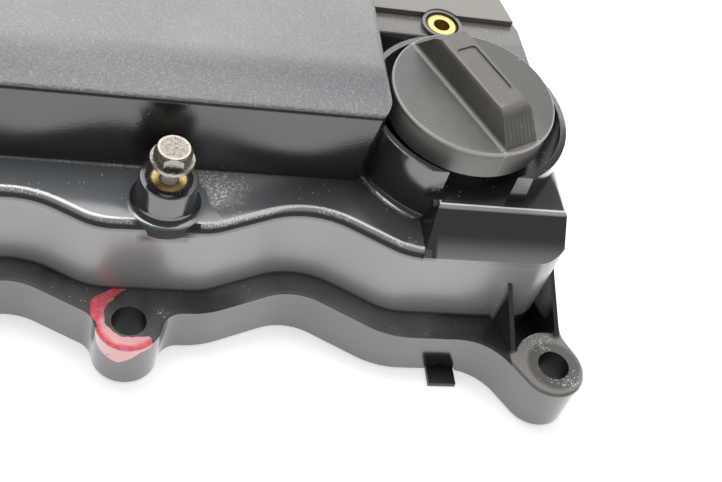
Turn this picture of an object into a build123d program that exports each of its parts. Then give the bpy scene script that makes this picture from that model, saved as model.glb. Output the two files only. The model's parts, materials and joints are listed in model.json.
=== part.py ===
from build123d import *
import os
from math import atan2, cos, degrees, radians, sin

# Engine valve cover of a four-cylinder engine: a glass-filled nylon moulding with its gasket, filler
# cap, threaded inserts, seals, vent valve and oil separator. +X runs along the engine, -Y is the
# front side and +Z is up. Z = 0 is the plane on which the gasket lies. All sizes are in millimetres.

# Plan of the flange: a rail with one inward crest per cylinder on each long side
CYLINDER_PITCH = 91.0
FIRST_CREST_X = 113.0
CREST_XS = [FIRST_CREST_X - CYLINDER_PITCH * n for n in range(4)]
CREST_LEFT_RUN = 29.5
CREST_RIGHT_RUN = 22.0
CREST_RADIUS = 20.0
VALLEY_RADIUS = 30.0
FRONT_VALLEY_Y = -90.3
FRONT_CREST_Y = -78.5
FRONT_CORNER_X = 143.7
FRONT_CORNER_Y = -96.3
FRONT_WALL_SHIFT = 1.4
RIGHT_WALL_SHIFT = 1.0
REAR_VALLEY_Y = 101.6
REAR_CREST_Y = 89.8
END_RAIL_X = 206.3
LEFT_CORNER_RADIUS = 12.0
RIGHT_CORNER_RADIUS = 20.0

# Bolt bosses
BOSS_RADIUS = 10.6
BOSS_BLEND = 7.0
EAR_BLEND = 20.0
LEFT_EAR_BLEND = 4.0
EAR_RADIUS = 11.7
EAR_OUTLINE = (199.4, -106.1)
BOSS_FLARE = 78.0
BOLT_HOLE_RADIUS = 5.5
BOLT_SHIFT_X = 37.0
FRONT_ROW_Y = -94.5
REAR_ROW_Y = 105.8
EAR_X = 200.2
EAR_Y = -105.8
END_BOSS_X = 211.0
END_BOSS_Y = 5.5
REAR_CORNER_X = 197.0
REAR_CORNER_RADIUS = 12.0

# Section of flange, walls and deck
FLANGE_FOOT_Z = 1.0
FLANGE_TOP_Z = 20.0
FLANGE_EDGE = 0.8
LEDGE_WIDTH = 8.0
WALL = 3.0
DECK_Z = 52.0
DECK_FILLET = 3.6
CHANNEL_EDGE = 3.0
CHANNEL_WIDTH = 4.6
CHANNEL_TOP_Z = 9.0

# Raised body over the plug wells
BODY_LEFT_X = -184.0
BODY_RIGHT_X = 135.3
BODY_FRONT_Y = -58.0
BODY_REAR_Y = 70.0
BODY_DRAFT = 2.6
BODY_LIP_Z = 79.0
BODY_TOP_Z = 82.0
BODY_SHOULDER = 21.0
BODY_SHOULDER_RADIUS = 40.0
BODY_CORNER_RADIUS = 11.0
BODY_LIP_EDGE = 2.4
BODY_END_EDGE = 2.5

# Corner box and rear platform, which carry the filler tower
BOX_TOP_Z = 62.0
BOX_LEFT_X = 152.7
BOX_LEFT_SLOPE = 3.8
BOX_FRONT_TOP_Y = -73.5
BOX_SLOPE_FOOT_Z = 50.5
BOX_EDGE = 1.2
PLATFORM_FRONT_Y = 5.5
PLATFORM_REAR_Y = 76.0
PLATFORM_STRIP_X = 178.0
PLATFORM_REAR_X = 190.0
STEP_Y = 16.0
STEP_HEIGHT = 2.2

# Filler tower
TOWER_X = 164.3
TOWER_Y = -40.1
SHROUD_RADIUS = 34.4
SHROUD_FOOT_RADIUS = 35.0
TOWER_FLARE = 2.2
SHROUD_WALL = 2.2
SHROUD_TOP_Z = 73.0
NOTCH_Y = -70.2
NECK_RADIUS = 22.6
NECK_BORE_RADIUS = 19.0
NECK_TOP_Z = 74.0

# Filler cap
CAP_FACE_Z = 80.0
CAP_RADIUS = 27.7
CAP_SKIRT_RADIUS = 27.3
CAP_SKIRT_WALL = 1.8
CAP_SKIRT_FOOT_Z = 69.0
CAP_LIP = 1.8
CAP_FACE_THICKNESS = 3.0
SPIGOT_RADIUS = 18.4
SPIGOT_WALL = 2.0
SPIGOT_FOOT_Z = 60.0
GRIP_ANGLE = -63.3
GRIP_TOP_Z = 90.0
GRIP_WIDTH = 13.4
GRIP_TOP_WIDTH = 11.6
GRIP_HALF_LENGTH = 25.6
GRIP_FLAT_HALF = 15.0
GRIP_EDGE = 1.5
PANEL_LENGTH = 21.0
PANEL_WIDTH = 8.0
PANEL_DEPTH = 0.5
CAP_SEAL_INNER = 18.8
CAP_SEAL_OUTER = 22.4

# Threaded inserts and their bosses
FRONT_BOSS_X = 67.1
FRONT_BOSS_Y = -71.0
FRONT_BOSS_TOP_Z = 62.5
FRONT_BOSS_RADIUS = 8.95
REAR_BOSS_X = 166.7
REAR_BOSS_Y = 11.4
REAR_BOSS_TOP_Z = 63.6
REAR_BOSS_RADIUS = 7.5
BOSS_DRAFT = 0.7
BOSS_FOOT_FLARE = 2.5
INSERT_RADIUS = 5.35
INSERT_FIT = 0.05
INSERT_LENGTH = 13.0
INSERT_RECESS = 0.6
MOAT_RADIUS = 7.3
REAR_MOAT_RADIUS = 6.3
MOAT_DEPTH = 2.2
M6_RADIUS = 3.0
THREAD_FIT = 0.05

# Flange bolt, half screwed into the front insert
BOLT_FLANGE_Z = 69.9
BOLT_FLANGE_RADIUS = 6.7
BOLT_FLANGE_THICKNESS = 1.3
BOLT_HEAD_TOP_Z = 75.6
BOLT_ACROSS_FLATS = 10.0
BOLT_SHANK = 16.0

# Plug wells with their seals and coil inserts
WELL_Y = 18.0
WELL_TUBE_RADIUS = 18.4
WELL_BORE_RADIUS = 14.5
WELL_FOOT_Z = 4.0
WELL_PAD_HEIGHT = 2.5
SEAL_SEAT_RADIUS = 16.6
SEAL_HEIGHT = 8.0
SEAL_BORE_RADIUS = 12.6
SEAL_FIT = 0.1
COIL_BOLT_Y = WELL_Y + 23.0
COIL_INSERT_RADIUS = 4.0
COIL_INSERT_LENGTH = 11.0
COIL_PAD_RADIUS = 7.0

# Oil separator
BAFFLE_Z = 44.5
BAFFLE_THICKNESS = 2.5
BAFFLE_LEFT_X = -150.0
BAFFLE_RIGHT_X = 104.0
BAFFLE_FRONT_Y = -54.0
BAFFLE_REAR_Y = -4.0
BAFFLE_RIB = 2.5
SCREW_POST_RADIUS = 4.2
SCREW_RADIUS = 1.75
SCREW_LENGTH = 12.0
SCREW_HEAD_RADIUS = 3.4
SCREW_HEAD_HEIGHT = 2.2
SCREW_INSET = 5.0

# Vent valve in the rear deck and breather nipple on the left end
VALVE_X = -105.0
VALVE_Y = 82.0
VALVE_SEAT_RADIUS = 7.0
VALVE_BOSS_RADIUS = 10.5
VALVE_BOSS_TOP_Z = 58.0
VALVE_FOOT_Z = 46.0
NIPPLE_Y = -30.0
NIPPLE_Z = 68.0
NIPPLE_RADIUS = 7.0
NIPPLE_BORE_RADIUS = 5.0
NIPPLE_TIP_X = -208.0

# Gussets behind the right ear: foot of each web on the wall, its end on the ear, height at the wall
GUSSET_THICKNESS = 1.8
LEFT_GUSSET = ((181.0, -86.0), (186.4, -101.4), 41.0)
RIGHT_GUSSET = ((198.0, -77.0), (204.0, -94.6), 40.5)
EAR_PAD_RADIUS = 13.3
EAR_POCKET_Z = 12.0

# Gasket: its clearance in the channel, its height and the tab that looks out under the flange
GASKET_CLEARANCE = 0.2
GASKET_HEIGHT = 8.9
TAB_LEFT_X = 161.7
TAB_RIGHT_X = 171.4
TAB_TIP_Y = -102.8
TAB_THICKNESS = 1.7

front_bolts = [(x + BOLT_SHIFT_X, FRONT_ROW_Y) for x in CREST_XS[1:]]
rear_bolts = [(x + BOLT_SHIFT_X, REAR_ROW_Y) for x in CREST_XS]
corner_bolts = [(-REAR_CORNER_X, REAR_ROW_Y), (REAR_CORNER_X, REAR_ROW_Y)]
end_bolts = [(-END_BOSS_X, END_BOSS_Y), (END_BOSS_X, END_BOSS_Y)]
ear_bolts = [(-EAR_X, EAR_Y), (EAR_X, EAR_Y)]
all_bolts = front_bolts + rear_bolts + corner_bolts + end_bolts + ear_bolts

wells = [(x, WELL_Y) for x in CREST_XS]
coil_bolts = [(x, COIL_BOLT_Y) for x in CREST_XS]
screw_xs = [
    BAFFLE_LEFT_X + SCREW_INSET,
    (BAFFLE_LEFT_X + BAFFLE_RIGHT_X) / 2,
    BAFFLE_RIGHT_X - SCREW_INSET,
]
baffle_screws_at = [(x, y) for x in screw_xs for y in (BAFFLE_FRONT_Y + SCREW_INSET, BAFFLE_REAR_Y - SCREW_INSET)]


def through(start, end):
    """A straight run through two points, as a point and a heading in degrees."""
    return start, degrees(atan2(end[1] - start[1], end[0] - start[0]))


def beside(centre, heading, radius):
    """The straight run at that heading which touches a boss with the boss on its left."""
    side = radians(heading - 90)
    return (centre[0] + radius * cos(side), centre[1] + radius * sin(side)), heading


def around(centre, first_heading, last_heading, blend=BOSS_BLEND, radius=BOSS_RADIUS):
    """Three runs round the outside of a boss, each with the radius of the corner after it."""
    middle = (first_heading + last_heading) / 2
    return [
        (beside(centre, first_heading, radius), radius * 0.998),
        (beside(centre, middle, radius), radius * 0.998),
        (beside(centre, last_heading, radius), blend),
    ]


def crossing(run, other):
    """The point where two straight runs meet."""
    (x1, y1), heading1 = run
    (x2, y2), heading2 = other
    dx1, dy1 = cos(radians(heading1)), sin(radians(heading1))
    dx2, dy2 = cos(radians(heading2)), sin(radians(heading2))
    reach = ((x2 - x1) * dy2 - (y2 - y1) * dx2) / (dx1 * dy2 - dy1 * dx2)
    return x1 + reach * dx1, y1 + reach * dy1


def outline(runs, inset=0.0):
    """Corner points and radii of a closed chain of runs, every run moved inwards by the inset."""
    moved = []
    for ((x, y), heading), radius in runs:
        shift_x = -inset * sin(radians(heading))
        shift_y = inset * cos(radians(heading))
        moved.append(((x + shift_x, y + shift_y), heading))
    points = []
    radii = []
    for index, (run, (_, radius)) in enumerate(zip(moved, runs)):
        following = moved[(index + 1) % len(moved)]
        turn = sin(radians(following[1] - run[1]))
        points.append(crossing(run, following))
        radii.append(radius - inset if turn > 0 else radius + inset)
    return points, radii


def closed_profile(runs, inset=0.0):
    """Face inside a closed chain of runs; called inside a sketch."""
    points, radii = outline(runs, inset)
    with BuildLine() as border:
        FilletPolyline(*points, radius=radii, close=True)
    make_face(border.edges())


def valley_radius(crest_x):
    """Radius of the valley corner beyond a crest; the last valley runs straight into the left corner."""
    return CREST_RADIUS if crest_x == CREST_XS[-1] else VALLEY_RADIUS


def front_crest(crest_x):
    """The two flanks of one inward crest of the front side."""
    valley_start = (crest_x - CREST_LEFT_RUN, FRONT_VALLEY_Y)
    valley_end = (crest_x + CREST_RIGHT_RUN, FRONT_VALLEY_Y)
    if crest_x == FIRST_CREST_X:
        valley_end = (FRONT_CORNER_X, FRONT_CORNER_Y)
    crest = (crest_x, FRONT_CREST_Y)
    return [(through(valley_start, crest), CREST_RADIUS), (through(crest, valley_end), VALLEY_RADIUS)]


def rear_crest(crest_x):
    """The two flanks of one inward crest of the rear side, from right to left."""
    crest = (crest_x, REAR_CREST_Y)
    valley_start = (crest_x + CREST_RIGHT_RUN, REAR_VALLEY_Y)
    valley_end = (crest_x - CREST_LEFT_RUN, REAR_VALLEY_Y)
    return [(through(valley_start, crest), CREST_RADIUS), (through(crest, valley_end), valley_radius(crest_x))]


# ---------------------------------------------------------------- runs of the rail and of the flange
front_valley = ((0, FRONT_VALLEY_Y), 0)
front_corner_run = ((FRONT_CORNER_X, FRONT_CORNER_Y), 0)
rear_valley = ((0, REAR_VALLEY_Y), 180)
right_end = ((END_RAIL_X, 0), 90)
left_end = ((-END_RAIL_X, 0), 270)

rail_runs = []
for crest_x in reversed(CREST_XS):
    rail_runs.append((front_valley, valley_radius(crest_x)))
    rail_runs += front_crest(crest_x)
rail_runs.append((front_corner_run, RIGHT_CORNER_RADIUS))
rail_runs.append((right_end, RIGHT_CORNER_RADIUS))
for crest_x in CREST_XS:
    rail_runs.append((rear_valley, VALLEY_RADIUS))
    rail_runs += rear_crest(crest_x)
rail_runs.append((rear_valley, LEFT_CORNER_RADIUS))
rail_runs.append((left_end, LEFT_CORNER_RADIUS))

wall_runs = list(rail_runs)
wall_front = wall_runs.index((front_corner_run, RIGHT_CORNER_RADIUS))
wall_runs[wall_front] = (((FRONT_CORNER_X, FRONT_CORNER_Y + FRONT_WALL_SHIFT), 0), RIGHT_CORNER_RADIUS)
wall_runs[wall_front + 1] = (((END_RAIL_X + RIGHT_WALL_SHIFT, 0), 90), RIGHT_CORNER_RADIUS)
RIGHT_WALL_X = END_RAIL_X + RIGHT_WALL_SHIFT - LEDGE_WIDTH

flange_runs = around((-EAR_OUTLINE[0], EAR_OUTLINE[1]), 243, 417, LEFT_EAR_BLEND, EAR_RADIUS)
for crest_x in reversed(CREST_XS):
    left_flank, right_flank = front_crest(crest_x)
    if crest_x != CREST_XS[-1]:
        flange_runs.append((front_valley, VALLEY_RADIUS))
    flange_runs.append(left_flank)
    if crest_x == FIRST_CREST_X:
        flange_runs.append(right_flank)
        flange_runs.append((front_corner_run, EAR_BLEND))
    else:
        flange_runs.append((right_flank[0], BOSS_BLEND))
        boss = (crest_x + BOLT_SHIFT_X, FRONT_ROW_Y)
        flange_runs += around(boss, -BOSS_FLARE, BOSS_FLARE)
flange_runs += around(EAR_OUTLINE, -57, 117, BOSS_BLEND, EAR_RADIUS)
flange_runs.append((right_end, BOSS_BLEND))
flange_runs += around((END_BOSS_X, END_BOSS_Y), 90 - BOSS_FLARE, 90 + BOSS_FLARE)
flange_runs.append((right_end, BOSS_BLEND))
flange_runs += around((REAR_CORNER_X, REAR_ROW_Y), 80, 180 + BOSS_FLARE, BOSS_BLEND, REAR_CORNER_RADIUS)
for crest_x in CREST_XS:
    right_flank, left_flank = rear_crest(crest_x)
    boss = (crest_x + BOLT_SHIFT_X, REAR_ROW_Y)
    flange_runs.append((rear_valley, BOSS_BLEND))
    flange_runs += around(boss, 180 - BOSS_FLARE, 180 + BOSS_FLARE)
    flange_runs.append(right_flank)
    flange_runs.append(left_flank if crest_x != CREST_XS[-1] else (left_flank[0], BOSS_BLEND))
flange_runs += around((-REAR_CORNER_X, REAR_ROW_Y), 180 - BOSS_FLARE, 280, BOSS_BLEND, REAR_CORNER_RADIUS)
flange_runs.append((left_end, BOSS_BLEND))
flange_runs += around((-END_BOSS_X, END_BOSS_Y), 270 - BOSS_FLARE, 270 + BOSS_FLARE)
flange_runs.append((left_end, BOSS_BLEND))

with BuildSketch() as rail_plan:
    closed_profile(rail_runs)
with BuildSketch() as wall_plan:
    closed_profile(wall_runs, LEDGE_WIDTH)
with BuildSketch() as cavity_plan:
    closed_profile(wall_runs, LEDGE_WIDTH + WALL)
with BuildSketch() as flange_plan:
    closed_profile(flange_runs)


def prism(face, bottom, top):
    """Adds the solid of a plan sketch between two heights; called inside a part."""
    with BuildSketch(Plane.XY.offset(bottom)) as plan:
        add(face)
    extrude(plan.sketch, amount=top - bottom)


def body_block(inset, foot_z):
    """The raised body drawn in by an inset, as a profile along X trimmed to a round-cornered plan."""
    top_z = BODY_TOP_Z - inset
    lip_z = BODY_LIP_Z - inset
    front = BODY_FRONT_Y + inset
    rear = BODY_REAR_Y - inset
    left = BODY_LEFT_X + inset
    right = BODY_RIGHT_X - inset
    slope = BODY_DRAFT / (BODY_LIP_Z - DECK_Z)
    lip_y = front + slope * (lip_z - foot_z)
    with BuildPart() as block:
        with BuildSketch(Plane.YZ.offset(left)):
            with BuildLine():
                FilletPolyline(
                    (front, foot_z),
                    (lip_y, lip_z),
                    (lip_y + BODY_SHOULDER, top_z),
                    (rear, top_z),
                    (rear, foot_z),
                    radius=[BODY_LIP_EDGE, BODY_SHOULDER_RADIUS, BODY_LIP_EDGE],
                )
                Line((rear, foot_z), (front, foot_z))
            make_face()
        extrude(amount=right - left)
        with BuildSketch(Plane.XY.offset(foot_z)):
            with Locations(((left + right) / 2, (front + rear) / 2)):
                RectangleRounded(right - left, rear - front, BODY_CORNER_RADIUS - inset)
        extrude(amount=BODY_TOP_Z + 10 - foot_z, mode=Mode.INTERSECT)
        with BuildSketch(Plane.XZ):
            with BuildLine():
                FilletPolyline(
                    (left, foot_z),
                    (left, top_z),
                    (right, top_z),
                    (right, foot_z),
                    radius=BODY_END_EDGE,
                )
                Line((right, foot_z), (left, foot_z))
            make_face()
        extrude(amount=BODY_REAR_Y + 10, both=True, mode=Mode.INTERSECT)
    return block.part


def front_box(inset, foot_z):
    """The corner box drawn in by an inset: sloped front, leaning left wall, round right corner."""
    top_z = BOX_TOP_Z - inset
    wall_y = FRONT_CORNER_Y + FRONT_WALL_SHIFT + LEDGE_WIDTH + inset
    plan = wall_plan.sketch if inset == 0 else cavity_plan.sketch
    with BuildPart() as block:
        with BuildSketch(Plane.YZ.offset(BOX_LEFT_X - 10)):
            Polygon(
                (wall_y, foot_z),
                (wall_y, BOX_SLOPE_FOOT_Z - inset * 0.5),
                (BOX_FRONT_TOP_Y + inset * 0.4, top_z),
                (TOWER_Y + 10, top_z),
                (TOWER_Y + 10, foot_z),
                align=None,
            )
        extrude(amount=END_RAIL_X - BOX_LEFT_X)
        prism_face = plan
        with BuildSketch(Plane.XY.offset(foot_z)):
            add(prism_face)
        extrude(amount=top_z - foot_z, mode=Mode.INTERSECT)
        with BuildSketch(Plane.XZ.offset(-TOWER_Y)):
            Polygon(
                (BOX_LEFT_X + inset, top_z + 1),
                (BOX_LEFT_X + inset - BOX_LEFT_SLOPE * (top_z + 1 - foot_z) / 10, foot_z - 1),
                (BOX_LEFT_X - 40, foot_z - 1),
                (BOX_LEFT_X - 40, top_z + 1),
                align=None,
            )
        extrude(amount=80, both=True, mode=Mode.SUBTRACT)
    return block.part


def flared_round(x, y, top_z, radius, foot_radius, flare):
    """A round with draft standing on the deck, its foot flared out; called inside a part."""
    with BuildSketch(Plane((x, y, 0), x_dir=(1, 0, 0), z_dir=(0, -1, 0))) as profile:
        with BuildLine() as border:
            FilletPolyline(
                (foot_radius + flare + 0.3, DECK_Z - 4),
                (foot_radius + flare + 0.3, DECK_Z + 0.02),
                (foot_radius, DECK_Z + 0.02),
                (radius, top_z),
                (0, top_z),
                radius=[0.1, flare, 0.3],
            )
            Polyline((0, top_z), (0, DECK_Z - 4), (foot_radius + flare + 0.3, DECK_Z - 4))
        make_face(border.edges())
    revolve(profile.sketch, axis=Axis((x, y, 0), (0, 0, 1)))


def tapered_boss(x, y, foot_z, top_z, radius):
    """A round boss with draft, wider by BOSS_DRAFT at its foot; called inside a part."""
    with Locations((x, y, (foot_z + top_z) / 2)):
        Cone(radius + BOSS_DRAFT, radius, top_z - foot_z)


def bore(x, y, bottom, top, radius):
    """Cuts a round hole between two heights; called inside a part."""
    with Locations((x, y, (bottom + top) / 2)):
        Cylinder(radius, top - bottom, mode=Mode.SUBTRACT)


def gusset(web):
    """A thin web from the end wall down to the ear; called inside a part."""
    foot, end, height = web
    heading = degrees(atan2(end[1] - foot[1], end[0] - foot[0]))
    reach = ((end[0] - foot[0]) ** 2 + (end[1] - foot[1]) ** 2) ** 0.5
    plane = Plane(origin=(foot[0], foot[1], 0), x_dir=(cos(radians(heading)), sin(radians(heading)), 0),
                  z_dir=(sin(radians(heading)), -cos(radians(heading)), 0))
    with BuildSketch(plane) as outline_sketch:
        Polygon(
            (-2.5, FLANGE_TOP_Z - 8),
            (reach, FLANGE_TOP_Z - 8),
            (reach, FLANGE_TOP_Z + 0.5),
            (0, height),
            (-2.5, height + 1.5),
            align=None,
        )
    extrude(outline_sketch.sketch, amount=GUSSET_THICKNESS / 2, both=True)


# ---------------------------------------------------------------- masses that make up the cover
raised_body = body_block(0, DECK_Z - 4)
body_hollow = body_block(WALL, DECK_Z - 4)
box_hollow = front_box(WALL, DECK_Z - 8)

with BuildPart() as walls:
    prism(wall_plan.sketch, FLANGE_FOOT_Z, DECK_Z)
    fillet(walls.edges().group_by(Axis.Z)[-1], radius=DECK_FILLET)

with BuildPart() as box:
    add(front_box(0, DECK_Z - 8))
    box_rim = box.faces().sort_by(Axis.Z)[-1].edges()
    fillet(box_rim.filter_by_position(Axis.Y, BOX_FRONT_TOP_Y - 5, TOWER_Y + 9.9), radius=BOX_EDGE)

# Rear platform with its side strip and low step
with BuildPart() as platform:
    with BuildSketch(Plane.XY.offset(DECK_Z - 8)):
        Polygon(
            (BODY_RIGHT_X - 3.5, PLATFORM_FRONT_Y),
            (PLATFORM_STRIP_X, PLATFORM_FRONT_Y),
            (PLATFORM_STRIP_X, TOWER_Y + 10),
            (RIGHT_WALL_X, TOWER_Y + 10),
            (RIGHT_WALL_X - 2.2, PLATFORM_FRONT_Y + 8),
            (PLATFORM_REAR_X + 2, PLATFORM_FRONT_Y + 25),
            (PLATFORM_REAR_X, PLATFORM_REAR_Y),
            (BODY_RIGHT_X - 3.5, PLATFORM_REAR_Y),
            align=None,
        )
    extrude(amount=BOX_TOP_Z - DECK_Z + 8)
    top_edges = platform.edges().group_by(Axis.Z)[-1].filter_by(Axis.X)
    fillet(top_edges.filter_by_position(Axis.Y, PLATFORM_FRONT_Y - 1, PLATFORM_FRONT_Y + 1), radius=BOX_EDGE)
    with BuildSketch(Plane.XY.offset(BOX_TOP_Z - 1)):
        Polygon(
            (BODY_RIGHT_X - 3.5, STEP_Y),
            (PLATFORM_REAR_X + 5, STEP_Y),
            (PLATFORM_REAR_X + 1.5, PLATFORM_FRONT_Y + 25),
            (PLATFORM_REAR_X - 0.5, PLATFORM_REAR_Y - 2),
            (BODY_RIGHT_X - 3.5, PLATFORM_REAR_Y - 2),
            align=None,
        )
    extrude(amount=STEP_HEIGHT + 1)

# Filler tower: round shroud with an open chord at the front, then the neck inside it
with BuildPart() as tower:
    flared_round(TOWER_X, TOWER_Y, SHROUD_TOP_Z, SHROUD_RADIUS, SHROUD_FOOT_RADIUS, TOWER_FLARE)
    with BuildSketch(Plane.XY.offset(DECK_Z - 5)):
        add(wall_plan.sketch)
    extrude(amount=60, mode=Mode.INTERSECT)
    bore(TOWER_X, TOWER_Y, BOX_TOP_Z, SHROUD_TOP_Z + 1, SHROUD_RADIUS - SHROUD_WALL)
    with Locations((TOWER_X, NOTCH_Y - 10, BOX_TOP_Z + 10)):
        Box(80, 20, 20, mode=Mode.SUBTRACT)
    with Locations((TOWER_X, BOX_FRONT_TOP_Y + 1.4 - 10, BOX_TOP_Z)):
        Box(80, 20, 60, mode=Mode.SUBTRACT)
    with Locations((TOWER_X, TOWER_Y, (BOX_TOP_Z - 1 + NECK_TOP_Z) / 2)):
        Cylinder(NECK_RADIUS, NECK_TOP_Z - BOX_TOP_Z + 1)

with BuildPart() as tower_hollow:
    with Locations((TOWER_X, TOWER_Y, (DECK_Z - 8 + BOX_TOP_Z - WALL) / 2)):
        Cylinder(SHROUD_RADIUS - SHROUD_WALL, BOX_TOP_Z - WALL - DECK_Z + 8)
    with BuildSketch(Plane.XY.offset(DECK_Z - 8)):
        add(cavity_plan.sketch)
    extrude(amount=60, mode=Mode.INTERSECT)

# ---------------------------------------------------------------- moulded cover
with BuildPart() as cover_shell:
    prism(flange_plan.sketch, FLANGE_FOOT_Z, FLANGE_TOP_Z)
    chamfer(cover_shell.edges().group_by(Axis.Z)[-1], length=FLANGE_EDGE)
    add(walls.part)
    add(box.part)
    add(platform.part)
    add(tower.part)
    add(raised_body)

    # Bosses on deck and platform, well pads, vent valve boss and breather nipple
    flared_round(FRONT_BOSS_X, FRONT_BOSS_Y, FRONT_BOSS_TOP_Z, FRONT_BOSS_RADIUS,
                 FRONT_BOSS_RADIUS + BOSS_DRAFT, BOSS_FOOT_FLARE)
    bore(REAR_BOSS_X, REAR_BOSS_Y, REAR_BOSS_TOP_Z, BOX_TOP_Z + 5, REAR_BOSS_RADIUS)
    tapered_boss(REAR_BOSS_X, REAR_BOSS_Y, DECK_Z - 4, REAR_BOSS_TOP_Z, REAR_BOSS_RADIUS)
    tapered_boss(VALVE_X, VALVE_Y, DECK_Z - 6, VALVE_BOSS_TOP_Z, VALVE_BOSS_RADIUS - BOSS_DRAFT)
    for x, y in wells:
        with BuildSketch(Plane.XY.offset(BODY_TOP_Z - 6)):
            with Locations((x, y)):
                Circle(WELL_TUBE_RADIUS)
            with Locations((x, COIL_BOLT_Y)):
                Circle(COIL_PAD_RADIUS)
            make_hull()
        extrude(amount=6 + WELL_PAD_HEIGHT)
    with BuildSketch(Plane.YZ.offset(NIPPLE_TIP_X)):
        with Locations((NIPPLE_Y, NIPPLE_Z)):
            Circle(NIPPLE_RADIUS)
    extrude(amount=BODY_LEFT_X + 2 - NIPPLE_TIP_X)

    # Hollow underside
    with BuildSketch(Plane.XY.offset(FLANGE_FOOT_Z)):
        add(cavity_plan.sketch)
    extrude(amount=DECK_Z - WALL - FLANGE_FOOT_Z, mode=Mode.SUBTRACT)
    add(body_hollow, mode=Mode.SUBTRACT)
    add(box_hollow, mode=Mode.SUBTRACT)
    with BuildSketch(Plane.XY.offset(DECK_Z - 8)):
        Polygon(
            (BODY_RIGHT_X - WALL - 0.5, PLATFORM_FRONT_Y + WALL),
            (PLATFORM_STRIP_X + WALL, PLATFORM_FRONT_Y + WALL),
            (PLATFORM_STRIP_X + WALL, TOWER_Y + 9),
            (RIGHT_WALL_X - 3.2 - WALL, TOWER_Y + 9),
            (RIGHT_WALL_X - 2.2 - WALL, PLATFORM_FRONT_Y + 8),
            (PLATFORM_REAR_X + 2 - WALL, PLATFORM_FRONT_Y + 25),
            (PLATFORM_REAR_X - WALL, PLATFORM_REAR_Y - WALL),
            (BODY_RIGHT_X - WALL - 0.5, PLATFORM_REAR_Y - WALL),
            align=None,
        )
    extrude(amount=BOX_TOP_Z - WALL - DECK_Z + 8, mode=Mode.SUBTRACT)
    add(tower_hollow.part, mode=Mode.SUBTRACT)
    bore(TOWER_X, TOWER_Y, BOX_TOP_Z - 20, NECK_TOP_Z + 1, NECK_BORE_RADIUS)

    # Material put back inside the hollow: insert sockets, well tubes, separator frame, screw posts
    with Locations((FRONT_BOSS_X, FRONT_BOSS_Y, DECK_Z - 4.5)):
        Cylinder(FRONT_BOSS_RADIUS, 6)
    with Locations((REAR_BOSS_X, REAR_BOSS_Y, 54)):
        Cylinder(REAR_BOSS_RADIUS, 12)
    for x, y in wells:
        with Locations((x, y, (WELL_FOOT_Z + BODY_TOP_Z - 1) / 2)):
            Cylinder(WELL_TUBE_RADIUS, BODY_TOP_Z - 1 - WELL_FOOT_Z)
        with Locations((x, COIL_BOLT_Y, BODY_TOP_Z - 7)):
            Cylinder(COIL_PAD_RADIUS, 12)
    with BuildSketch(Plane.XY.offset(BAFFLE_Z + BAFFLE_THICKNESS)):
        frame_x = (BAFFLE_LEFT_X + BAFFLE_RIGHT_X) / 2
        frame_front_y = BODY_FRONT_Y + WALL - 0.2
        with Locations((frame_x, (frame_front_y + BAFFLE_REAR_Y) / 2)):
            Rectangle(BAFFLE_RIGHT_X - BAFFLE_LEFT_X, BAFFLE_REAR_Y - frame_front_y)
            Rectangle(BAFFLE_RIGHT_X - BAFFLE_LEFT_X - 2 * BAFFLE_RIB,
                      BAFFLE_REAR_Y - frame_front_y - 2 * BAFFLE_RIB - 1.4, mode=Mode.SUBTRACT)
    extrude(amount=BODY_LIP_Z - 2 - BAFFLE_Z - BAFFLE_THICKNESS)
    for x, y in baffle_screws_at:
        with Locations((x, y, (BAFFLE_Z + BAFFLE_THICKNESS + BODY_LIP_Z - 2) / 2)):
            Cylinder(SCREW_POST_RADIUS, BODY_LIP_Z - 2 - BAFFLE_Z - BAFFLE_THICKNESS)

    # Bores
    for x, y in wells:
        bore(x, y, 0, BODY_TOP_Z + 10, WELL_BORE_RADIUS)
        bore(x, y, 0, WELL_FOOT_Z + SEAL_HEIGHT, SEAL_SEAT_RADIUS)
        pad_top_z = BODY_TOP_Z + WELL_PAD_HEIGHT
        bore(x, COIL_BOLT_Y, pad_top_z - COIL_INSERT_LENGTH - 1, pad_top_z + 1, COIL_INSERT_RADIUS + INSERT_FIT)
    for x, y in all_bolts:
        bore(x, y, 0, FLANGE_TOP_Z + 10, BOLT_HOLE_RADIUS)
    for x, y in baffle_screws_at:
        bore(x, y, BAFFLE_Z, BAFFLE_Z + SCREW_LENGTH + 1, SCREW_RADIUS + THREAD_FIT)
    bore(VALVE_X, VALVE_Y, VALVE_FOOT_Z - 2, VALVE_BOSS_TOP_Z + 1, VALVE_SEAT_RADIUS)
    with BuildSketch(Plane.YZ.offset(NIPPLE_TIP_X - 1)):
        with Locations((NIPPLE_Y, NIPPLE_Z)):
            Circle(NIPPLE_BORE_RADIUS)
    extrude(amount=BODY_LEFT_X + 8 - NIPPLE_TIP_X, mode=Mode.SUBTRACT)

    # Sockets of the two boss inserts, each with a moat round the insert
    for x, y, top_z, moat in (
        (FRONT_BOSS_X, FRONT_BOSS_Y, FRONT_BOSS_TOP_Z, MOAT_RADIUS),
        (REAR_BOSS_X, REAR_BOSS_Y, REAR_BOSS_TOP_Z, REAR_MOAT_RADIUS),
    ):
        bore(x, y, top_z - INSERT_RECESS - INSERT_LENGTH, top_z + 5, INSERT_RADIUS + INSERT_FIT)
        bore(x, y, top_z - MOAT_DEPTH, top_z + 5, moat)

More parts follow.
